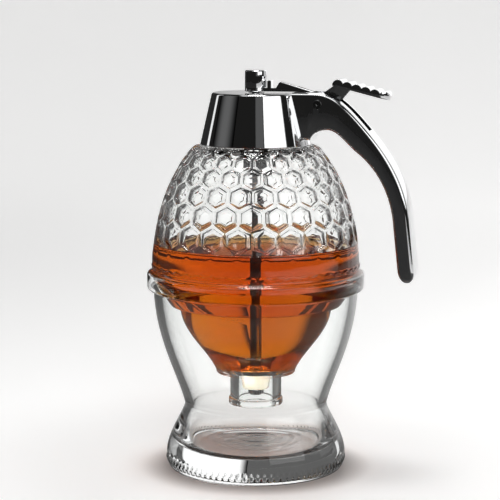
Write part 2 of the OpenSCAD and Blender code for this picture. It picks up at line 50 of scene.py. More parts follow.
cameraView = {
    "distance": 700.0,
    "height": 187.0,
    "azimuth": 13.0,  # degrees, from the front towards the handle
    "pitch": 8.29,
    "yaw": 0.185,
    "lens": 131.9,
    "sensor": 36,
}


def makeCamera():
    c = cameraView
    camera = bpy.data.cameras.new("camera")
    camera.lens = c["lens"]
    camera.sensor_width = c["sensor"]
    camera.clip_start = 0.05
    camera.clip_end = 20
    obj = bpy.data.objects.new("camera", camera)
    a = math.radians(c["azimuth"])
    reach = c["distance"] * mm
    obj.location = (reach * math.sin(a), -reach * math.cos(a), c["height"] * mm)
    obj.rotation_euler = (math.radians(90 - c["pitch"]), 0, math.radians(c["azimuth"] + c["yaw"]))
    scene.collection.objects.link(obj)
    scene.camera = obj


makeCamera()


def cosSin(degrees):
    angle = math.radians(degrees)
    return math.cos(angle), math.sin(angle)


def bezier(points, steps, last=False):
    a, b, c, d = (np.array(p, float) for p in points)
    line = []
    for i in range(steps + 1 if last else steps):
        t = i / steps
        u = 1 - t
        line.append(tuple(u**3 * a + 3 * t * u * u * b + 3 * t * t * u * c + t**3 * d))
    return line


def rounded(points, steps=3):
    # a point is (radius, height), or (radius, height, fillet) where the corner is an arc
    line = []
    for i, point in enumerate(points):
        if len(point) < 3 or i in (0, len(points) - 1):
            line.append(tuple(point[:2]))
            continue
        before, corner, after = (np.array(points[j][:2], float) for j in (i - 1, i, i + 1))
        back, on = before - corner, after - corner
        cut = min(point[2], np.linalg.norm(back) * 0.49, np.linalg.norm(on) * 0.49)
        start = corner + back / np.linalg.norm(back) * cut
        end = corner + on / np.linalg.norm(on) * cut
        for k in range(steps + 1):
            t = k / steps
            line.append(tuple((1 - t) ** 2 * start + 2 * t * (1 - t) * corner + t * t * end))
    return line


def newObject(name, verts, faces):
    mesh = bpy.data.meshes.new(name)
    mesh.from_pydata([tuple(v) for v in verts], [], [tuple(f) for f in faces])
    mesh.validate()
    mesh.shade_smooth()
    obj = bpy.data.objects.new(name, mesh)
    scene.collection.objects.link(obj)
    return obj


def outward(obj):
    bm = bmesh.new()
    bm.from_mesh(obj.data)
    bmesh.ops.remove_doubles(bm, verts=bm.verts, dist=1e-7)
    bmesh.ops.recalc_face_normals(bm, faces=bm.faces)
    bm.to_mesh(obj.data)
    bm.free()
    return obj


def lathe(name, profile, around, closed=True, phase=0.0):
    # a point on the axis becomes one vertex
    verts, rings = [], []
    for r, z in profile:
        start = len(verts)
        if r < 1e-6:
            verts.append((0, 0, z * mm))
            rings.append([start] * around)
            continue
        for i in range(around):
            a = phase + math.tau * i / around
            verts.append((r * mm * math.cos(a), r * mm * math.sin(a), z * mm))
        rings.append(list(range(start, start + around)))
    faces = []
    pairs = list(zip(rings, rings[1:]))
    if closed:
        pairs.append((rings[-1], rings[0]))
    for low, high in pairs:
        for i in range(around):
            j = (i + 1) % around
            face = []
            for v in (low[i], low[j], high[j], high[i]):
                if v not in face:
                    face.append(v)
            if len(face) > 2:
                faces.append(face)
    return newObject(name, verts, faces)


def openEdges(obj):
    bm = bmesh.new()
    bm.from_mesh(obj.data)
    count = sum(1 for edge in bm.edges if len(edge.link_faces) != 2)
    bm.free()
    return count


def sharpen(obj, degrees):
    obj.data.shade_smooth()
    obj.data.set_sharp_from_angle(angle=math.radians(degrees))


def useModifiers(obj):
    bpy.context.view_layer.update()
    graph = bpy.context.evaluated_depsgraph_get()
    mesh = bpy.data.meshes.new_from_object(obj.evaluated_get(graph))
    obj.modifiers.clear()
    obj.data = mesh
    return obj


def cutWith(obj, *tools):
    for tool in tools:
        cut = obj.modifiers.new("cut", "BOOLEAN")
        cut.operation = "DIFFERENCE"
        cut.solver = "EXACT"
        cut.object = tool
    useModifiers(obj)
    for tool in tools:
        bpy.data.objects.remove(tool)


class Graph:
    # writes a node tree in few lines, for materials and for geometry alike
    def __init__(self, tree):
        self.tree = tree

    def put(self, socket, value):
        if isinstance(value, bpy.types.NodeSocket):
            self.tree.links.new(value, socket)
        elif value is not None:
            socket.default_value = value

    def add(self, kind, settings=None, **values):
        node = self.tree.nodes.new(kind)
        for key, value in (settings or {}).items():
            setattr(node, key, value)
        for key, value in values.items():
            self.put(node.inputs[key.replace("_", " ")], value)
        return node

    def math(self, operation, *values):
        node = self.add("ShaderNodeMath", {"operation": operation})
        for socket, value in zip(node.inputs, values):
            self.put(socket, value)
        return node.outputs[0]

    def plus(self, a, b):
        return self.math("ADD", a, b)

    def minus(self, a, b):
        return self.math("SUBTRACT", a, b)

    def times(self, a, b):
        return self.math("MULTIPLY", a, b)

    def vector(self, operation, a, b=None, scale=None):
        node = self.add("ShaderNodeVectorMath", {"operation": operation})
        for i, v in ((0, a), (1, b), (3, scale)):
            self.put(node.inputs[i], v)
        return node.outputs["Vector"]

    def length(self, vector):
        return self.add("ShaderNodeVectorMath", {"operation": "LENGTH"}, Vector=vector).outputs["Value"]

    def split(self, vector):
        return self.add("ShaderNodeSeparateXYZ", Vector=vector).outputs

    def combine(self, x=0.0, y=0.0, z=0.0):
        return self.add("ShaderNodeCombineXYZ", X=x, Y=y, Z=z).outputs[0]

    def ramp(self, value, low, high, outLow, outHigh, kind="LINEAR"):
        node = self.add("ShaderNodeMapRange", {"interpolation_type": kind})
        for i, v in enumerate((value, low, high, outLow, outHigh)):
            self.put(node.inputs[i], v)
        return node.outputs[0]

    def smooth(self, value, low, high, outLow=0.0, outHigh=1.0):
        return self.ramp(value, low, high, outLow, outHigh, "SMOOTHSTEP")

    def mixVector(self, factor, a, b):
        node = self.add("ShaderNodeMix", {"data_type": "VECTOR"})
        for i, v in ((0, factor), (4, a), (5, b)):
            self.put(node.inputs[i], v)
        return node.outputs[1]

    def turn(self, vector, angle):
        node = self.add("ShaderNodeVectorRotate", {"rotation_type": "Z_AXIS"}, Vector=vector, Angle=angle)
        return node.outputs[0]

    def place(self, stretch=(1, 1, 1)):
        where = self.add("ShaderNodeTexCoord").outputs["Object"]
        return self.add("ShaderNodeMapping", Vector=where, Scale=stretch).outputs[0]

    def noise(self, vector, scale, detail=3.0, rough=0.5):
        node = self.add("ShaderNodeTexNoise", Vector=vector, Scale=scale, Detail=detail, Roughness=rough)
        return node.outputs[0]

    def mixColor(self, factor, a, b):
        node = self.add("ShaderNodeMix", {"data_type": "RGBA"})
        for i, v in ((0, factor), (6, a), (7, b)):
            self.put(node.inputs[i], v)
        return node.outputs[2]

    def bump(self, height, distance, strength=1.0, under=None):
        node = self.add("ShaderNodeBump", Distance=distance, Strength=strength, Height=height)
        if under:
            self.put(node.inputs["Normal"], under)
        return node.outputs[0]

    def surface(self, **values):
        return self.add("ShaderNodeBsdfPrincipled", **values).outputs[0]

    def openToLight(self, shader, tint):
        # light passes through the glass in place of a black shadow
        path = self.add("ShaderNodeLightPath")
        clear = self.add("ShaderNodeBsdfTransparent", Color=tint)
        mix = self.add("ShaderNodeMixShader")
        for i, v in enumerate((path.outputs["Is Shadow Ray"], shader, clear.outputs[0])):
            self.put(mix.inputs[i], v)
        return mix.outputs[0]


def newMaterial(name):
    material = bpy.data.materials.new(name)
    material.use_nodes = True
    material.node_tree.nodes.clear()
    graph = Graph(material.node_tree)
    graph.material = material
    graph.out = graph.add("ShaderNodeOutputMaterial").inputs
    return graph


def geometryTree(name, sockets):
    tree = bpy.data.node_groups.new(name, "GeometryNodeTree")
    tree.interface.new_socket("Geometry", in_out="INPUT", socket_type="NodeSocketGeometry")
    for label, kind in sockets.items():
        tree.interface.new_socket(label, in_out="INPUT", socket_type="NodeSocket" + kind)
    tree.interface.new_socket("Geometry", in_out="OUTPUT", socket_type="NodeSocketGeometry")
    graph = Graph(tree)
    graph.given = graph.add("NodeGroupInput").outputs
    graph.out = graph.add("NodeGroupOutput").inputs
    return graph


def closeTree(graph, geometry):
    real = graph.add("GeometryNodeRealizeInstances", Geometry=geometry).outputs[0]
    smooth = graph.add("GeometryNodeSetShadeSmooth", Geometry=real).outputs[0]
    made = graph.add("GeometryNodeSetMaterial", Geometry=smooth, Material=graph.given["Material"])
    graph.put(graph.out[0], made.outputs[0])


def useTree(obj, graph, values):
    modifier = obj.modifiers.new(graph.tree.name, "NODES")
    modifier.node_group = graph.tree
    for item in graph.tree.interface.items_tree:
        if item.in_out == "INPUT" and item.name in values:
            modifier[item.identifier] = values[item.name]
    return outward(useModifiers(obj))


def glassFinish(name, shade, ior=1.5, coat=0.0):
    g = newMaterial(name)
    glass = g.surface(
        Base_Color=(0.985, 0.995, 0.99, 1),
        Roughness=0.0,
        IOR=ior,
        Transmission_Weight=1.0,
        Coat_Weight=coat,
        Coat_Roughness=0.0,
        Normal=g.bump(g.noise(g.place(), 55, 2), 0.00012, 0.4),
    )
    g.put(g.out["Surface"], g.openToLight(glass, (shade, shade, shade, 1)))
    return g.material


def honeyFinish(name, density, color, shade):
    g = newMaterial(name)
    normal = g.bump(g.noise(g.place(), 40, 1), 0.00025, 0.3)
    liquid = g.surface(
        Base_Color=(1.0, 0.95, 0.85, 1),
        Roughness=0.0,
        IOR=1.49,
        Specular_IOR_Level=0.2,
        Transmission_Weight=1.0,
        Normal=normal,
    )
    g.put(g.out["Surface"], g.openToLight(liquid, shade))
    absorb = g.add("ShaderNodeVolumeAbsorption", Color=color, Density=density)
    g.put(g.out["Volume"], absorb.outputs[0])
    return g.material


def chromeFinish(name, wave, roughest=0.07, stretch=(1, 1, 1)):
    # thin plating: slow waves of the casting under it, fine wipe marks and a little haze
    g = newMaterial(name)
    where = g.place(stretch)
    haze = g.ramp(g.noise(where, 320, 5, 0.6), 0.35, 0.7, 0.02, roughest)
    normal = g.bump(g.noise(where, 60, 2), wave, 0.5)
    normal = g.bump(g.noise(where, 2600, 2), 0.000003, 0.4, normal)
    color = g.mixColor(g.noise(where, 90, 3), (0.80, 0.81, 0.82, 1), (0.88, 0.885, 0.89, 1))
    g.put(g.out["Surface"], g.surface(Base_Color=color, Metallic=1.0, Roughness=haze, Normal=normal))
    return g.material


def steelFinish(name, color, smoothest, roughest):
    g = newMaterial(name)
    lines = g.noise(g.place((1, 1, 0.05)), 2200, 4, 0.6)
    rough = g.ramp(lines, 0.3, 0.7, smoothest, roughest)
    steel = g.surface(Base_Color=color, Metallic=1.0, Roughness=rough, Normal=g.bump(lines, 0.00001, 0.5))
    g.put(g.out["Surface"], steel)
    return g.material


def plasticFinish(name):
    g = newMaterial(name)
    grain = g.noise(g.place(), 1800, 4, 0.6)
    plastic = g.surface(
        Base_Color=(0.004, 0.004, 0.004, 1),
        Roughness=g.ramp(grain, 0.3, 0.7, 0.4, 0.6),
        Specular_IOR_Level=0.25,
        Normal=g.bump(grain, 0.00002, 0.6),
    )
    g.put(g.out["Surface"], plastic)
    return g.material


def siliconeFinish(name):
    g = newMaterial(name)
    where = g.place()
    color = g.mixColor(g.noise(where, 260, 3), (0.95, 0.84, 0.66, 1), (0.98, 0.91, 0.76, 1))
    silicone = g.surface(
        Base_Color=color,
        Roughness=0.35,
        IOR=1.41,
        Transmission_Weight=0.25,
        Subsurface_Weight=0.3,
        Subsurface_Radius=(0.003, 0.0025, 0.002),
        Subsurface_Scale=1.0,
        Normal=g.bump(g.noise(where, 1500, 3), 0.00002, 0.5),
    )
    g.put(g.out["Surface"], silicone)
    return g.material


finishes = {
    "stand": glassFinish("glass_stand", 0.8),
    "jar": glassFinish("glass_jar", 0.9),
    "flange": glassFinish("glass_flange", 0.9, ior=1.12, coat=1.0),  # its ends show clear
    "lid": chromeFinish("chrome_lid", 0.00002, stretch=(1, 1, 0.25)),
    "cast": chromeFinish("chrome_cast", 0.00005),
    "steel": steelFinish("steel_satin", (0.55, 0.55, 0.56, 1), 0.2, 0.38),
    "rod": steelFinish("steel_polished", (0.35, 0.35, 0.36, 1), 0.06, 0.14),
    "pin": steelFinish("steel_dark", (0.1, 0.1, 0.1, 1), 0.25, 0.4),
    "plastic": plasticFinish("plastic_dark"),
    "silicone": siliconeFinish("silicone_milky"),
}


def wear(obj, finish):
    obj.data.materials.clear()
    obj.data.materials.append(finishes[finish])


def hand(obj, finish, body, slot, *nodes):
    # the piece gets its finish and takes its place in the frame
    wear(obj, finish)
    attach(obj, body)
    if nodes:
        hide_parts(*nodes)


standLook = {
    "footFlat": 32.0,
    "footRadius": 34.8,
    "bellyZ": 6.0,
    "waistRadius": 27.6,
    "waistZ": 25.5,
    "rimRadius": 39.5,
    "rimZ": 70.4,
    "wall": 3.0,
    "footWall": 6.6,
    "floorZ": 7.7,
    "floorRings": 4,
    "ringHeight": 0.12,
    "beads": 88,
    "beadHeight": 0.55,
    "beadZ": 3.9,
    "beadSpread": 0.9,
    "perBead": 6,
}


def standSide(foot, footZ, waist, rim, steps):
    # one skin of the wall, from the foot up to the rim
    s = standLook
    waistZ, top = s["waistZ"], s["rimZ"]
    low = [(foot, footZ), (foot, footZ + 7), (waist, waistZ - 3.5), (waist, waistZ)]
    high = [(waist, waistZ), (waist + 2.4, waistZ + 10.5), (rim - 0.7, top - 20.4), (rim, top - 0.9)]
    return bezier(low, steps) + bezier(high, steps + 4)


def standProfile():
    s = standLook
    flat, foot, belly, floorZ = s["footFlat"], s["footRadius"], s["bellyZ"], s["floorZ"]
    rim, top, wall = s["rimRadius"], s["rimZ"], s["wall"]
    inFoot = foot - s["footWall"]
    outer = bezier([(flat, 0), (flat + 0.8 * (foot - flat), 0.2), (foot, belly - 3), (foot, belly)], 14)
    outer += standSide(foot, belly, s["waistRadius"], rim, 16)
    lip = rounded([(rim, top - 0.9), (rim, top, 0.7), (rim - wall, top, 0.7), (rim - wall, top - 0.9)], 3)
    corner = [(inFoot - 6, floorZ), (inFoot - 2, floorZ), (inFoot, floorZ + 1.5), (inFoot, floorZ + 4)]
    inner = bezier(corner, 8) + standSide(inFoot, floorZ + 4, s["waistRadius"] - wall, rim - wall, 12)
    # faint turned rings on the floor
    reach = inFoot - 6.5
    floor = []
    for i in range(24):
        r = reach * i / 24
        wave = math.cos(math.tau * s["floorRings"] * r / reach) * min(1, r / 4) - 1
        floor.append((r, floorZ + s["ringHeight"] * wave))
    return [(0, 0), (12, 0), (24, 0), (flat - 2, 0)] + outer + lip + inner[::-1] + floor[::-1]


def beadTree():
    # pushes the foot's edge out into a ring of beads
    sockets = {"Beads": "Int", "Material": "Material"}
    for label in ("Height", "Level", "Spread", "Radius"):
        sockets[label] = "Float"
    g = geometryTree("foot_beads", sockets)
    given = g.given
    x, y, z = g.split(g.add("GeometryNodeInputPosition").outputs[0])
    wave = g.math("COSINE", g.times(g.math("ARCTAN2", y, x), given["Beads"]))
    # round heads that stand out by 0.65 of the height, and sunk gaps between them
    bead = g.minus(g.math("POWER", g.math("MAXIMUM", wave, 0.0), 0.6), 0.35)
    away = g.math("DIVIDE", g.minus(z, given["Level"]), given["Spread"])
    near = g.math("EXPONENT", g.times(g.times(away, away), -1.0))
    flat = g.combine(x, y)
    outside = g.math("GREATER_THAN", g.length(flat), given["Radius"])
    rise = g.times(g.times(bead, near), g.times(outside, given["Height"]))
    offset = g.vector("SCALE", g.vector("NORMALIZE", flat), scale=rise)
    closeTree(g, g.add("GeometryNodeSetPosition", Geometry=given["Geometry"], Offset=offset).outputs[0])
    return g


def makeStand():
    s = standLook
    obj = lathe("stand_glass", standProfile(), s["beads"] * s["perBead"])
    useTree(obj, beadTree(), {
        "Beads": s["beads"],
        "Height": s["beadHeight"] * mm,
        "Level": s["beadZ"] * mm,
        "Spread": s["beadSpread"] * mm,
        "Radius": (s["footFlat"] - 1) * mm,
        "Material": finishes["stand"],
    })
    hand(obj, "stand", "stand", "clear_glass", "stand")
    print("stand: waisted glass on a ring of beads,", len(obj.data.polygons), "faces")


jarLook = {
    "cells": 24,  # round the dome
    "rows": 6,
    "phase": 3.0,  # degrees
    "firstTip": 87.8,  # height of the lowest cells' lower tips
    "squeeze": 0.985,  # height of a cell over that of a regular one
    "rib": 0.16,  # half a rib and its flank, as shares of the way to the cell's middle
    "slope": 0.12,
    "depth": 0.74,
    "dish": 0.12,
    "perSide": 6,
    "rings": 8,
    "margin": 0.1,  # plain strip above and below the cells, in cell widths
    "step": 0.1,
    "fluteHeight": 0.16,
    "fluteFoot": 80.4,
    "fluteTop": 86.6,
    "fluteFade": 1.2,
    "scallopZ": 79.7,
    "scallopHeight": 0.35,
    "scallopWidth": 0.4,  # and how far the line waves up and down
    "skirtRadius": 38.4,  # flutes and scallops lie outside this
    "domeRadius": 40.0,
    "domeZ": 78.05,  # level of the dome's greatest width
    "domeRise": 59.2,
    "wall": 3.0,
    "shoulderZ": 124.3,
    "topZ": 125.75,
    "flangeRadius": 42.0,
    "flangeZ": (70.45, 76.65),
}


def domeRadius(z, inset=0.0):
    j = jarLook
    share = (z - j["domeZ"]) / (j["domeRise"] - inset)
    return (j["domeRadius"] - inset) * math.sqrt(max(0, 1 - share**2))


def domeLine():
    # the outside from the foot of the dome to the top of the shoulder
    j = jarLook
    foot, shoulder, top = j["domeZ"] + 3, j["shoulderZ"], j["topZ"]
    line = []
    for i in range(60):
        z = foot + (shoulder - foot) * cosSin(90 * i / 59)[1]
        line.append((domeRadius(z), z))
    line += bezier([(25.0, shoulder), (24.1, shoulder + 1), (23.2, top), (21.6, top)], 8)[1:]
    return np.array(line + [(21.6, top), (19.5, top), (17, top)])


def jarLower():
    # outer skin from the spout's mouth to the foot of the dome
    spout = [(7.2, 25.45), (10.5, 25.45, 0.6), (10.5, 27.9, 0.5), (9.95, 28.3, 0.3), (9.95, 38.05, 1.0)]
    flange = [(29.3, 63.4), (29.35, 64.45, 0.5), (32.78, 64.45, 1.0), (36.08, 69.5, 0.8), (36.08, 70.45, 0.2)]
    edge, (low, high) = jarLook["flangeRadius"], jarLook["flangeZ"]
    flange += [(edge, low, 1.1), (edge, high, 0.9), (40.6, 77.3, 0.8), (40.1, 78.2)]
    foot = [(domeRadius(z), z) for z in np.arange(78.5, 81.0, 0.2)]
    return (
        rounded(spout + [(15.4, 38.05, 0.5), (15.4, 39.0)])
        + bezier([(15.4, 39.05), (19.0, 47.05), (29.0, 54.05), (29.3, 63.4)], 16)
        + rounded(flange)
        + foot
    )


def jarInside():
    # inner skin from the neck's mouth down to the spout
    j = jarLook
    wall, wide = j["wall"], j["domeRadius"] - j["wall"]
    under, foot = j["topZ"] - wall, j["domeZ"] + 2
    dome = []
    for i in range(18, 0, -1):
        z = foot + (under - 0.6 - foot) * cosSin(90 * i / 18)[1]
        dome.append((domeRadius(z, wall), z))
    neck = [(14.4, 126.6), (14.4, 141.35, 0.6), (11.6, 141.35, 0.6), (11.6, under, 1.0), (22.4, under, 0.8)]
    seat = [(10.4, 41.25), (9.2, 41.25, 0.2), (6.6, 38.65, 0.2), (6.6, 25.45, 0.4), (7.2, 25.45)]
    return (
        rounded(neck + [dome[0]])
        + dome
        + bezier([(wide, foot), (wide, foot - 13.6), (26, 70.05), (26, 58.05)], 14)
        + bezier([(26, 58.05), (25, 52.05), (15.2, 46.25), (10.4, 41.25)], 12)
        + rounded(seat, 2)
    )


def cellLadder():
    # points up the dome at equal steps of the honeycomb, which narrows with the dome
    j = jarLook
    line = domeLine()
    length = np.concatenate([[0], np.cumsum(np.linalg.norm(np.diff(line, axis=0), axis=1))])

    def at(s):
        return np.array([np.interp(s, length, line[:, k]) for k in (0, 1)])

    def pitch(s):
        return j["squeeze"] * math.tau * at(s)[0] / j["cells"]

    top = (2 / math.sqrt(3)) + (j["rows"] - 1) * math.sqrt(3) / 2
    count = round((top + 2 * j["margin"]) / j["step"])
    s = float(np.interp(j["firstTip"], line[:, 1], length))
    s -= j["margin"] * pitch(s)
    points, normals = [], []
    step = (top + 2 * j["margin"]) / count
    for i in range(count + 2):
        along = at(s + 0.3) - at(s - 0.3)
        along /= np.linalg.norm(along)
        points.append(at(s))
        normals.append((along[1], 0, -along[0]))
        middle = s + 0.5 * step * pitch(s)
        s += step * pitch(middle)
    return points, normals, step, top, count


def combTree():
    # one cell is repeated on a flat honeycomb, which is then laid round the dome
    sockets = {"Ladder": "Object", "Material": "Material"}
    for label in ("Cells", "Rows", "Per Side", "Rings"):
        sockets[label] = "Int"
    for label in ("Step", "Top", "Margin", "Phase", "Rib", "Slope", "Depth", "Dish"):
        sockets[label] = "Float"
    for label in ("Flute", "Flute Foot", "Flute Top", "Flute Fade"):
        sockets[label] = "Float"
    for label in ("Scallop", "Scallop Level", "Scallop Width", "Skirt Radius"):
        sockets[label] = "Float"
    g = geometryTree("honeycomb", sockets)
    given = g.given
    corner = 1 / math.sqrt(3)  # centre to corner of a cell one wide
    x, y, z = g.split(g.add("GeometryNodeInputPosition").outputs[0])
    plus, minus, times = g.plus, g.minus, g.times

    def grid(sizeX, sizeY, countX, countY):
        node = g.add("GeometryNodeMeshGrid", Size_X=sizeX, Size_Y=sizeY, Vertices_X=countX, Vertices_Y=countY)
        return node.outputs[0]

    def moved(geometry, position):
        return g.add("GeometryNodeSetPosition", Geometry=geometry, Position=position).outputs[0]

    # a cell: x runs round its rim, y from the rim in to the centre
    along = times(plus(x, 0.5), 6.0)
    side = g.math("FLOOR", along)
    start = g.turn((0, -corner, 0), times(side, math.pi / 3))
    end = g.turn((0, -corner, 0), times(plus(side, 1.0), math.pi / 3))
    rim = g.mixVector(minus(along, side), start, end)
    # of eight rings one makes the rib, four make its flank and three the floor
    into, rib, slope = plus(y, 0.5), given["Rib"], given["Slope"]
    inward = plus(
        plus(g.ramp(into, 0.0, 0.125, 0.0, rib), g.ramp(into, 0.125, 0.625, 0.0, slope)),
        g.ramp(into, 0.625, 1.0, 0.0, minus(minus(1.0, rib), slope)),
    )
    flatCell = grid(1.0, 1.0, plus(times(given["Per Side"], 6), 1), plus(given["Rings"], 1))
    marked = g.add(
        "GeometryNodeStoreNamedAttribute",
        {"data_type": "FLOAT"},
        Geometry=flatCell,
        Name="inward",
        Value=inward,
    ).outputs[0]
    depthLeft = minus(1.0, inward)
    cell = moved(marked, g.vector("SCALE", rim, scale=depthLeft))

    # the honeycomb: every second row is shifted by half a cell
    cells, rows = given["Cells"], given["Rows"]
    lastRow = minus(rows, 1)
    row = g.math("ROUND", plus(y, times(lastRow, 0.5)))
    shift = times(g.math("MODULO", row, 2.0), 0.5)
    column = plus(plus(x, times(minus(cells, 1), 0.5)), shift)
    lattice = moved(
        grid(minus(cells, 1), lastRow, cells, rows),
        g.combine(column, plus(times(row, math.sqrt(3) / 2), corner)),
    )
    comb = g.add("GeometryNodeInstanceOnPoints", Points=lattice, Instance=cell).outputs[0]
    comb = g.add("GeometryNodeRealizeInstances", Geometry=comb).outputs[0]

    # plain strips join the zigzag edges to straight rings
    lastShift = times(g.math("MODULO", lastRow, 2.0), 0.5)

    def zigzag(shifted):
        across = minus(plus(x, times(cells, 0.5)), shifted)
        return times(g.math("ABSOLUTE", minus(across, g.math("ROUND", across))), corner)

    def strip(low, high):
        level = plus(low, times(plus(y, 0.5), minus(high, low)))
        count = plus(times(times(cells, given["Per Side"]), 2), 1)
        return moved(grid(cells, 1.0, count, 3), g.combine(plus(x, times(cells, 0.5)), level))

    margin, top = given["Margin"], given["Top"]
    lowStrip = strip(times(margin, -1.0), zigzag(0.0))
    highStrip = strip(minus(top, zigzag(lastShift)), plus(top, margin))
    flat = g.add("GeometryNodeJoinGeometry")
    for part in (comb, lowStrip, highStrip):
        g.put(flat.inputs[0], part)

    # round the dome: x gives the angle, y the rung of the ladder
    ladder = g.add("GeometryNodeObjectInfo", Object=given["Ladder"]).outputs["Geometry"]
    rung = g.math("MAXIMUM", g.math("DIVIDE", plus(y, margin), given["Step"]), 0.0)
    low = g.math("FLOOR", rung)

    def onLadder(value):
        ends = []
        clamped = {"data_type": "FLOAT_VECTOR", "clamp": True}
        for index in (low, plus(low, 1.0)):
            sample = g.add("GeometryNodeSampleIndex", clamped, Geometry=ladder)
            g.put(sample.inputs["Value"], value)
            g.put(sample.inputs["Index"], index)
            ends.append(sample.outputs[0])
        return g.mixVector(minus(rung, low), *ends)

    point = onLadder(g.add("GeometryNodeInputPosition").outputs[0])
    normal = onLadder(
        g.add("GeometryNodeInputNamedAttribute", {"data_type": "FLOAT_VECTOR"}, Name="outward").outputs[0]
    )
    mark = g.add("GeometryNodeInputNamedAttribute", {"data_type": "FLOAT"}, Name="inward").outputs[0]
    wall = g.ramp(mark, rib, plus(rib, slope), 0.0, given["Depth"], "SMOOTHSTEP")
    sunk = plus(wall, times(given["Dish"], mark))
    skin = g.vector("SUBTRACT", point, g.vector("SCALE", normal, scale=sunk))
    angle = plus(given["Phase"], g.math("DIVIDE", times(x, math.tau), cells))
    relief = moved(flat.outputs[0], g.turn(skin, angle))

    # under the cells: a flute below each tip and a scalloped ring at the foot of the dome
    turns = times(minus(g.math("ARCTAN2", y, x), given["Phase"]), cells)
    ridge = g.math("POWER", g.math("MAXIMUM", g.math("COSINE", turns), 0.0), 20.0)
    foot, high, fade = given["Flute Foot"], given["Flute Top"], given["Flute Fade"]
    window = times(g.ramp(z, foot, plus(foot, fade), 0.0, 1.0), g.ramp(z, minus(high, fade), high, 1.0, 0.0))
    wave = plus(given["Scallop Level"], times(g.math("COSINE", times(turns, 2.0)), given["Scallop Width"]))
    away = g.math("DIVIDE", minus(z, wave), given["Scallop Width"])
    bead = g.math("EXPONENT", times(times(away, away), -1.0))
    radial = g.vector("NORMALIZE", g.combine(x, y))
    reach = g.math("SQRT", plus(times(x, x), times(y, y)))
    outside = g.math("GREATER_THAN", reach, given["Skirt Radius"])
    rise = plus(times(times(ridge, window), given["Flute"]), times(bead, given["Scallop"]))
    plain = g.add(
        "GeometryNodeSetPosition",
        Geometry=given["Geometry"],
        Offset=g.vector("SCALE", radial, scale=times(rise, outside)),
    ).outputs[0]

    whole = g.add("GeometryNodeJoinGeometry")
    for part in (plain, relief):
        g.put(whole.inputs[0], part)
    weld = 3e-6  # joins the relief to the plain skin
    closed = g.add("GeometryNodeMergeByDistance", Geometry=whole.outputs[0], Distance=weld).outputs[0]
    closeTree(g, closed)
    return g


def makeJar():
    j = jarLook
    points, normals, step, top, count = cellLadder()
    ladder = newObject("ladder", [(r * mm, 0, z * mm) for r, z in points], [])
    field = ladder.data.attributes.new("outward", "FLOAT_VECTOR", "POINT")
    field.data.foreach_set("vector", [v for n in normals for v in n])
    lowRing, highRing = tuple(points[0]), tuple(points[count])
    foot = [tuple(p) for p in domeLine() if p[1] < lowRing[1] - 0.3]
    neck = [highRing, (15.2, j["topZ"]), (14.7, j["topZ"] + 0.15), (14.4, 126.4)]
    profile = neck + jarInside() + jarLower()[1:] + foot + [lowRing]
    around = j["cells"] * 2 * j["perSide"]
    obj = lathe("jar_glass", profile, around, closed=False, phase=math.radians(j["phase"]))
    useTree(obj, combTree(), {
        "Ladder": ladder,
        "Material": finishes["jar"],
        "Cells": j["cells"],
        "Rows": j["rows"],
        "Per Side": j["perSide"],
        "Rings": j["rings"],
        "Step": step,
        "Top": top,
        "Margin": j["margin"],
        "Phase": math.radians(j["phase"]),
        "Rib": j["rib"],
        "Slope": j["slope"],
        "Depth": j["depth"] * mm,
        "Dish": j["dish"] * mm,
        "Flute": j["fluteHeight"] * mm,
        "Flute Foot": j["fluteFoot"] * mm,
        "Flute Top": j["fluteTop"] * mm,
        "Flute Fade": j["fluteFade"] * mm,
        "Scallop": j["scallopHeight"] * mm,
        "Scallop Level": j["scallopZ"] * mm,
        "Scallop Width": j["scallopWidth"] * mm,
        "Skirt Radius": j["skirtRadius"] * mm,
    })
    bpy.data.objects.remove(ladder)
    hand(obj, "jar", "jar", "clear_glass", "jar")
    obj.data.materials.append(finishes["flange"])
    low, high = j["flangeZ"]
    for polygon in obj.data.polygons:
        middle = polygon.center / mm
        if math.hypot(middle.x, middle.y) > j["flangeRadius"] - 6 and low + 0.05 < middle.z < high + 0.35:
            polygon.material_index = 1
    print("jar: honeycomb laid round the dome,", len(obj.data.polygons), "faces,", openEdges(obj), "open edges")


honeyLook = {
    "level": 86.6,
    "meniscus": 1.5,
    "spread": 1.5,
    "overlap": 0.12,  # how far the honey reaches into the glass, so that no air shows between
    "color": (0.915, 0.635, 0.0, 1),
    "density": 105.0,
    "shade": (0.9, 0.6, 0.3, 1),  # colour of the light that falls through it
    "around": 144,
}


def makeHoney():
    h = honeyLook
    finishes["honey"] = honeyFinish("honey_amber", h["density"], h["color"], h["shade"])
    level, rise = h["level"], h["meniscus"]
    wall = [(r + h["overlap"], z) for r, z in jarInside() if 41.2 < z < level + rise and r < 37.5]
    edge = wall[0][0]
    surface = []
    for i in range(40):
        r = edge * (1 - (1 - i / 40) ** 1.5)
        surface.append((r, level + rise * math.exp((r - edge) / h["spread"])))
    # the bottom lies on the stopper and its collar
    bottom = [(9.1, 41.3), (8.85, 41.5), (8.85, 41.9), (7.8, 42.35), (3.6, 43.46), (2.95, 43.5)]
    bottom += [(2.95, 44.7), (2.3, 45.55), (1.45, 45.6), (0, 45.6)]
    obj = outward(lathe("honey_fill", surface + [(edge, level + rise)] + wall + bottom, h["around"]))
    hand(obj, "honey", "jar", "clear_glass")
    print("honey: filled to", level, "mm")


lidLook = {
    "bottomZ": 126.1,
    "topZ": 145.8,
    "bottomRadius": 21.3,
    "topRadius": 16.8,
    "edge": 0.8,
    "plate": 1.2,
    "wall": 1.25,
    "bore": 3.05,
    "around": 240,
}


def lidRadius(z):
    d = lidLook
    share = (z - d["bottomZ"]) / (d["topZ"] - d["bottomZ"])
    return d["bottomRadius"] + (d["topRadius"] - d["bottomRadius"]) * share


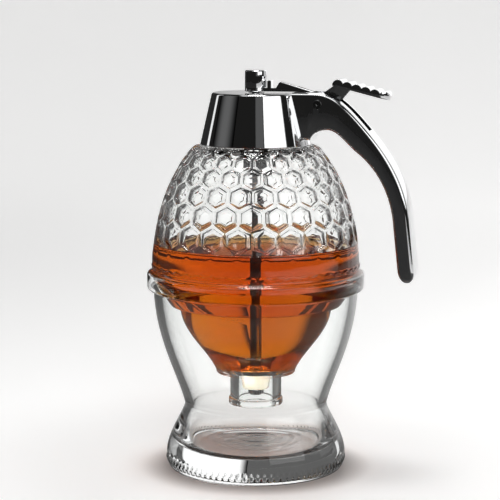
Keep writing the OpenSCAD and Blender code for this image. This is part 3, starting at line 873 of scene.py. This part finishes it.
def makeLid():
    d = lidLook
    low, top, wall, bore = d["bottomZ"], d["topZ"], d["wall"], d["bore"]
    under, outside = top - d["plate"], d["bottomRadius"]
    inside = [(bore, under), (lidRadius(under) - wall, under, 0.3), (outside - wall, low)]
    rim = [(outside - wall + 0.05, low, 0.15), (outside, low, 0.3)]
    plate = [(d["topRadius"], top, d["edge"]), (bore + 0.25, top, 0.1), (bore, top - 0.3)]
    obj = outward(lathe("lid_chrome", rounded(inside + rim + plate, 6), d["around"]))
    sharpen(obj, 40)
    hand(obj, "lid", "head", "chrome", "lid_shell")
    print("lid: chromed cone")


handleLook = {
    "width": 14.5,
    "top": 146.1,
    "edge": 1.3,
    "crown": 0.4,
    "thick": 6.1,
    "endLength": 4.4,
    "slotWidth": 6.2,
    "pin": (25.2, 142.0),
    "pinRadius": 1.27,
}


def handleLines():
    h = handleLook
    top, thick = h["top"], h["thick"]
    outerBow, outerGrip = np.array((42.9, top - 12.7)), np.array((60.1, top - 46.7))
    outerEnd = outerGrip + (2.1, -20)
    arch = np.array((29, top - 13.8))
    innerBow = outerBow + (-3.5, -8.8)
    innerGrip = outerGrip - (thick, 0.5)
    innerEnd = outerEnd - (thick, 0)
    root = top - 17.7

    def straight(a, b):
        return [a + (b - a) * i / 6 for i in range(1, 7)]

    outer = (
        [(11.8, top), (18.8, top), (21.4, top)]
        + bezier([(24, top), (31, top), outerBow + (-6.7, 7.6), outerBow], 24)
        + bezier([outerBow, outerBow + (6.6, -7.5), outerGrip + (-1.5, 15.1), outerGrip], 24, True)
        + straight(outerGrip, outerEnd)
    )
    inner = (
        [(11.8, root), (20.5, root), (21.5, root)]
        + bezier([(22.5, root), (23.3, root + 2.5), arch - (3.2, 0), arch], 12)
        + bezier([arch, arch + (3.2, 0), innerBow + (-4.2, 3.9), innerBow], 12)
        + bezier([innerBow, innerBow + (7.4, -5.4), innerGrip + (-1.5, 11.6), innerGrip], 24, True)
        + straight(innerGrip, innerEnd)
    )
    return [np.array(p, float) for p in outer], [np.array(p, float) for p in inner]


def handleSection(outer, inner, half, edge, crown):
    # a rounded oblong between the two lines, with a low crown outside
    span = outer - inner
    thick = np.linalg.norm(span)
    up = span / thick
    side = [(half * 0.5, 0.0)]
    for a in range(-90, 1, 15):
        c, s = cosSin(a)
        side.append((half - edge + edge * c, edge + edge * s))
    rise = crown * (1 - ((half - edge) / half) ** 2)
    for a in range(0, 91, 15):
        c, s = cosSin(a)
        side.append((half - edge + edge * c, thick - edge + (edge + rise) * s))
    for q in (0.66, 0.44, 0.22):
        side.append((half * q, thick + crown * (1 - q * q)))
    loop = [(0.0, 0.0)] + side + [(0.0, thick + crown)] + [(-x, y) for x, y in side[::-1]]
    return [(inner[0] + up[0] * y, x, inner[1] + up[1] * y) for x, y in loop]


def makeHandle():
    h = handleLook
    outer, inner = handleLines()
    half = h["width"] / 2
    sections = [handleSection(o, i, half, h["edge"], h["crown"]) for o, i in zip(outer, inner)]
    axis = (outer[-1] + inner[-1]) / 2
    down = outer[-1] - outer[-2]
    down /= np.linalg.norm(down)
    for a in (12, 24, 36, 48, 58, 68, 76, 83, 88):
        c, s = cosSin(a)
        place = axis + down * h["endLength"] * s
        thick = (outer[-1] - axis) * c
        narrow = half - 0.45 * (1 - c) * h["endLength"]
        sections.append(handleSection(place + thick, place - thick, narrow, h["edge"] * c, h["crown"] * c))
    n = len(sections[0])
    faces = []
    for i in range(len(sections) - 1):
        for q in range(n):
            w = (q + 1) % n
            faces.append((i * n + q, i * n + w, (i + 1) * n + w, (i + 1) * n + q))
    faces.append(tuple(range(n)))
    faces.append(tuple((len(sections) - 1) * n + q for q in range(n)))
    obj = outward(newObject("handle_chrome", [tuple(v * mm for v in p) for s in sections for p in s], faces))

    # cut to the lid's cone, with the lever's slot and the pin's hole
    low, high = 121, 150
    cone = [(0, low), (lidRadius(low) - 0.02, low), (lidRadius(high) - 0.02, high), (0, high)]
    slot = [(10.8, 149.1), (10.8, 143.2), (19.2, 143.2), (20.6, 138.0), (30.7, 138.0)]
    slot += [(38.3, 126.6), (44.5, 132.2), (46.5, 135.2), (39.9, 149.1)]
    side, n = h["slotWidth"] / 2, len(slot)
    box = newObject(
        "tool_slot",
        [(x * mm, y * mm, z * mm) for y in (-side, side) for x, z in slot],
        [range(n), range(n, 2 * n)] + [(i, (i + 1) % n, (i + 1) % n + n, i + n) for i in range(n)],
    )
    bore, reach = h["pinRadius"], 9
    pin = lathe("tool_pin", [(0, -reach), (bore, -reach), (bore, reach), (0, reach)], 48, closed=False)
    place = Matrix.Translation((h["pin"][0] * mm, 0, h["pin"][1] * mm))
    pin.data.transform(place @ Matrix.Rotation(math.radians(90), 4, "X"))
    cutWith(obj, outward(lathe("tool_cone", cone, 192, closed=False)), outward(box), outward(pin))
    sharpen(obj, 32)
    hand(obj, "cast", "head", "chrome", "handle")
    print("handle:", len(obj.data.polygons), "faces")


def softCopy(node, body, finish, slot, width):
    # a copy of the node with softened edges stands for it
    obj = bpy.data.objects.new(node + "_dressed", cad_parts[node].data.copy())
    scene.collection.objects.link(obj)
    bm = bmesh.new()
    bm.from_mesh(obj.data)
    bmesh.ops.remove_doubles(bm, verts=bm.verts, dist=2e-6)
    bmesh.ops.dissolve_limit(bm, angle_limit=math.radians(0.6), verts=bm.verts, edges=bm.edges)
    bm.to_mesh(obj.data)
    bm.free()
    bevel = obj.modifiers.new("edge", "BEVEL")
    bevel.width = width * mm
    bevel.segments = 3
    bevel.limit_method = "ANGLE"
    bevel.angle_limit = math.radians(30)
    useModifiers(obj)
    sharpen(obj, 50)
    hand(obj, finish, body, slot, node)
    print(node + ":", len(obj.data.polygons), "faces with softened edges")


springLook = {
    "low": 104.05,  # middle of the wire at its lower end
    "high": 127.75,
    "radius": 2.55,
    "wire": 0.35,
    "turns": 9,
    "endPitch": 1.2,
    "perTurn": 24,
    "sides": 10,
}


def makeSpring():
    # the upper end stays in the guide; the coil is built at rest and attached to no body
    s = springLook
    wire, sides, perTurn = s["wire"], s["sides"], s["perTurn"]
    middleTurns = s["turns"] - 2
    pitch = (s["high"] - s["low"] - 2 * s["endPitch"]) / middleTurns
    verts, faces = [], []
    for i in range(s["turns"] * perTurn + 1):
        turn = i / perTurn
        middle = min(max(turn - 1, 0), middleTurns)
        z = s["low"] + (turn - middle) * s["endPitch"] + middle * pitch
        c, v = cosSin(360 * turn)
        for k in range(sides):
            out, up = cosSin(360 * k / sides)
            r = s["radius"] + wire * out
            verts.append((r * c * mm, r * v * mm, (z + wire * up) * mm))
    for i in range(s["turns"] * perTurn):
        for k in range(sides):
            a, b = i * sides + k, i * sides + (k + 1) % sides
            faces.append((a, b, b + sides, a + sides))
    faces += [range(sides), range(len(verts) - sides, len(verts))]
    obj = outward(newObject("spring_coil", verts, faces))
    sharpen(obj, 50)
    wear(obj, "steel")
    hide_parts("return_spring")
    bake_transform(obj)
    print("spring:", s["turns"], "turns")


def dressFrame():
    plain = {
        "plastic": ["lid_liner", "guide_tube"],
        "rod": ["plunger_rod"],
        "pin": ["lever_pin"],
        "steel": ["handle_screws", "spring_washer", "spring_clip", "stopper_collar", "stopper_nut"],
        "silicone": ["neck_gasket", "stopper"],
    }
    for finish, nodes in plain.items():
        for name in nodes:
            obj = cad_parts[name]
            wear(obj, finish)
            sharpen(obj, 35)
    print("frame: the other nodes have their finishes")


# from here sizes are in metres, and azimuths count from the camera's side, positive to its right
stageLook = {
    "front": -1.6,
    "back": 0.85,
    "bend": 0.6,
    "height": 1.8,
    "half": 2.2,
    "drop": 0.00002,  # the paper lies this much under the foot
    "color": (0.86, 0.855, 0.85, 1),
    "glow": (0.1, 0.34, 0.55),  # under the dispenser, where it is dimmed as painted shade, beside it and far from it
    "paintedShadeFade": (0.03, 0.16),  # distances between which the painted shade under the dispenser passes into the glow beside it
    "farGlow": (0.15, 1.2),  # and the second into the third
    "paintedShadow": (0.032, 0.048, 0.4),  # painted contact shadow under the foot: from, to, and its share of the light
    "window": (0.45, 0.85),  # half width of the part that the glass sees bright
    "through": (0.14, 1.6),  # light that the glass sees beside that part and in it
    "mirrored": (0.03, 0.9),  # light that the chrome sees in the dark part and in the bright part
    "behind": (-0.1, 0.3),  # the bright part begins behind this and is whole behind that,
    "right": (-0.25, 0.1),  # and so to the right
    "farRight": (0.04, 0.16),  # there is more of it to the right
    "farOff": (0.5, 0.7),  # and far off
}
lightLook = {
    "world": (0.013, 0.0128, 0.0125),
    "worldSeen": 0.78,  # how bright the camera sees it
    "worldThrough": 0.05,  # and how bright the glass does
    "ceiling": 0.8,  # the same overhead
    "ceilingRise": (0.4, 0.8),
    "middle": (0, 0, 0.08),  # the cards stand round this point
    "cards": {
        "key": dict(azimuth=42, elevation=24, distance=1.25, size=(1.2, 0.8), glow=1.4, fade=0.15),
        "dim": dict(azimuth=8, elevation=24, distance=1.2, size=(0.4, 0.8), glow=0.1, fade=0.3),
        "side": dict(azimuth=108, elevation=20, distance=1.3, size=(0.9, 0.9), glow=0.55, fade=0.2),
        "edge": dict(azimuth=156, elevation=22, distance=1.2, size=(0.9, 0.9), glow=1.2, fade=0.2),
        "above": dict(azimuth=-10, elevation=66, distance=1.0, size=(1.0, 0.6), glow=1.2, fade=0.3),
        "strip": dict(azimuth=-118, elevation=24, distance=1.2, size=(0.2, 0.8), glow=1.0, fade=0.3),
        "fill": dict(azimuth=-76, elevation=26, distance=1.3, size=(1.3, 0.7), glow=0.13, fade=0.9),
    },
    "top": dict(height=1.03, size=(0.3, 0.3), power=2.0, spread=110),
    "front": dict(azimuth=0, elevation=36, distance=1.3, size=(0.7, 0.5), power=3.0, spread=120),
    "frontAim": (0, 0, 0.08),
    "spout": dict(azimuth=-25, elevation=-6, distance=0.4, size=(0.04, 0.04), power=0.13, spread=9),
    "spoutAim": (0, 0, 0.036),
}


def paperFinish():
    # the camera sees the paper as it is, the glass and the chrome only a part of it bright; for all of them
    # shade is painted under the dispenser and a shadow under its foot
    s = stageLook
    g = newMaterial("paper_white")
    where = g.place()
    grain = g.noise(where, 900, 4)
    reach = g.length(where)
    under, beside, far = s["glow"]
    # painted shade: the paper glows less under the dispenser than beside it
    glow = g.smooth(reach, *s["paintedShadeFade"], under, beside)
    glow = g.plus(glow, g.smooth(reach, *s["farGlow"], 0.0, far - beside))
    across, behind, _ = g.split(g.turn(where, -math.radians(cameraView["azimuth"])))
    path = g.add("ShaderNodeLightPath").outputs
    # bright straight through the glass, dark by way of a reflection inside it
    straight = g.ramp(path["Glossy Depth"], 0.0, 1.0, 1.0, 0.0)
    window = g.times(g.smooth(g.math("ABSOLUTE", across), *s["window"], 1.0, 0.0), straight)
    window = g.ramp(window, 0.0, 1.0, *s["through"])
    # the chrome sees what lies behind and to the right
    mirrored = g.times(g.smooth(behind, *s["behind"]), g.smooth(across, *s["right"]))
    beyond = g.times(g.smooth(across, *s["farRight"]), g.ramp(reach, *s["farOff"], 0.0, 1.0))
    mirrored = g.ramp(g.math("MAXIMUM", mirrored, beyond), 0.0, 1.0, *s["mirrored"])
    refracted = path["Is Transmission Ray"]
    # a refracted ray counts as glossy too
    reflected = g.math("MAXIMUM", g.minus(path["Is Glossy Ray"], refracted), 0.0)

    def shareFor(ray, amount):
        return g.minus(1.0, g.times(ray, g.minus(1.0, amount)))

    # painted contact shadow: the paper's colour and glow are darkened under the foot
    near, clear, paintedShadow = s["paintedShadow"]
    share = g.times(shareFor(refracted, window), shareFor(reflected, mirrored))
    share = g.times(share, g.smooth(reach, near, clear, paintedShadow, 1.0))
    paper = g.surface(
        Base_Color=g.mixColor(share, (0.0, 0.0, 0.0, 1), s["color"]),
        Roughness=0.45,
        Specular_IOR_Level=0.15,
        Normal=g.bump(grain, 0.00001, 0.2),
        Emission_Color=(1, 0.998, 0.995, 1),
        Emission_Strength=g.times(glow, share),
    )
    g.put(g.out["Surface"], paper)
    return g.material


def makeStage():
    # the floor turns up into the wall behind in one sweep
    s = stageLook
    line = [(s["front"] + (s["back"] - s["front"]) * i / 7, 0) for i in range(8)]
    for angle in range(6, 91, 6):
        c, v = cosSin(angle)
        line.append((s["back"] + s["bend"] * v, s["bend"] * (1 - c)))
    line.append((s["back"] + s["bend"], s["height"]))
    turn = Matrix.Rotation(math.radians(cameraView["azimuth"]), 4, "Z")
    verts = [turn @ Vector((x, y, z - s["drop"])) for y, z in line for x in (-s["half"], s["half"])]
    faces = [(2 * i, 2 * i + 1, 2 * i + 3, 2 * i + 2) for i in range(len(line) - 1)]
    floor = newObject("stage_sweep", verts, faces)
    floor.data.materials.append(paperFinish())


def placeRound(obj, look, target):
    # stands round the dispenser and faces the target
    middle = Vector(lightLook["middle"])
    a = math.radians(cameraView["azimuth"] + look["azimuth"])
    e = math.radians(look["elevation"])
    out = Vector((math.sin(a) * math.cos(e), -math.cos(a) * math.cos(e), math.sin(e)))
    obj.location = middle + look["distance"] * out
    obj.rotation_euler = (Vector(target) - obj.location).to_track_quat("-Z", "Y").to_euler()


def softCard(name, card):
    # a glowing sheet outside the picture, fading towards its upright sides
    w, h = (side / 2 for side in card["size"])
    g = newMaterial("card_" + name)
    x = g.split(g.add("ShaderNodeTexCoord").outputs["Object"])[0]
    fade = g.smooth(g.math("ABSOLUTE", x), w * (1 - card["fade"]), w, card["glow"], 0.0)
    g.put(g.out["Surface"], g.add("ShaderNodeEmission", Strength=fade).outputs[0])
    obj = newObject("card_" + name, [(-w, -h, 0), (w, -h, 0), (w, h, 0), (-w, h, 0)], [(0, 1, 2, 3)])
    obj.data.materials.append(g.material)
    placeRound(obj, card, lightLook["middle"])
    obj.visible_camera = False
    obj.visible_diffuse = False
    obj.visible_shadow = False


def areaLight(name):
    look = lightLook[name]
    light = bpy.data.lights.new(name, "AREA")
    light.shape = "RECTANGLE"
    light.size, light.size_y = look["size"]
    light.energy = look["power"]
    light.spread = math.radians(look["spread"])
    obj = bpy.data.objects.new(name, light)
    scene.collection.objects.link(obj)
    return obj


def makeWorld():
    # through the glass the ceiling is bright and the rest is dark
    look = lightLook
    world = bpy.data.worlds.new("studio")
    scene.world = world
    world.use_nodes = True
    g = Graph(world.node_tree)
    path = g.add("ShaderNodeLightPath").outputs
    up = g.split(g.add("ShaderNodeTexCoord").outputs["Generated"])[2]
    ceiling = g.smooth(up, *look["ceilingRise"], look["worldThrough"], look["ceiling"])
    ceiling = g.times(path["Is Transmission Ray"], ceiling)
    seen = g.math("MAXIMUM", g.times(path["Is Camera Ray"], look["worldSeen"]), ceiling)
    background = world.node_tree.nodes["Background"]
    g.put(background.inputs["Color"], g.mixColor(seen, (*look["world"], 1), (1.0, 1.0, 1.0, 1)))


def makeLight():
    for name, card in lightLook["cards"].items():
        softCard(name, card)
    areaLight("top").location = (0, 0, lightLook["top"]["height"])
    # these two light the dull pieces only, the small one through the stand to the stopper
    for name in ("front", "spout"):
        light = areaLight(name)
        placeRound(light, lightLook[name], lightLook[name + "Aim"])
        light.visible_glossy = False
        light.visible_transmission = False
    print("stage: pale sweep,", len(lightLook["cards"]), "cards and three lights")


makeStand()
makeJar()
makeHoney()
makeLid()
makeHandle()
softCopy("lever", "lever", "cast", "chrome", 0.22)
softCopy("knob", "plunger", "lid", "chrome", 0.2)
makeSpring()
dressFrame()
makeStage()
makeWorld()
makeLight()
scene.view_settings.view_transform = "Standard"
scene.cycles.max_bounces = 24
scene.cycles.transmission_bounces = 24
scene.cycles.glossy_bounces = 8
scene.cycles.transparent_max_bounces = 24
scene.cycles.caustics_reflective = False
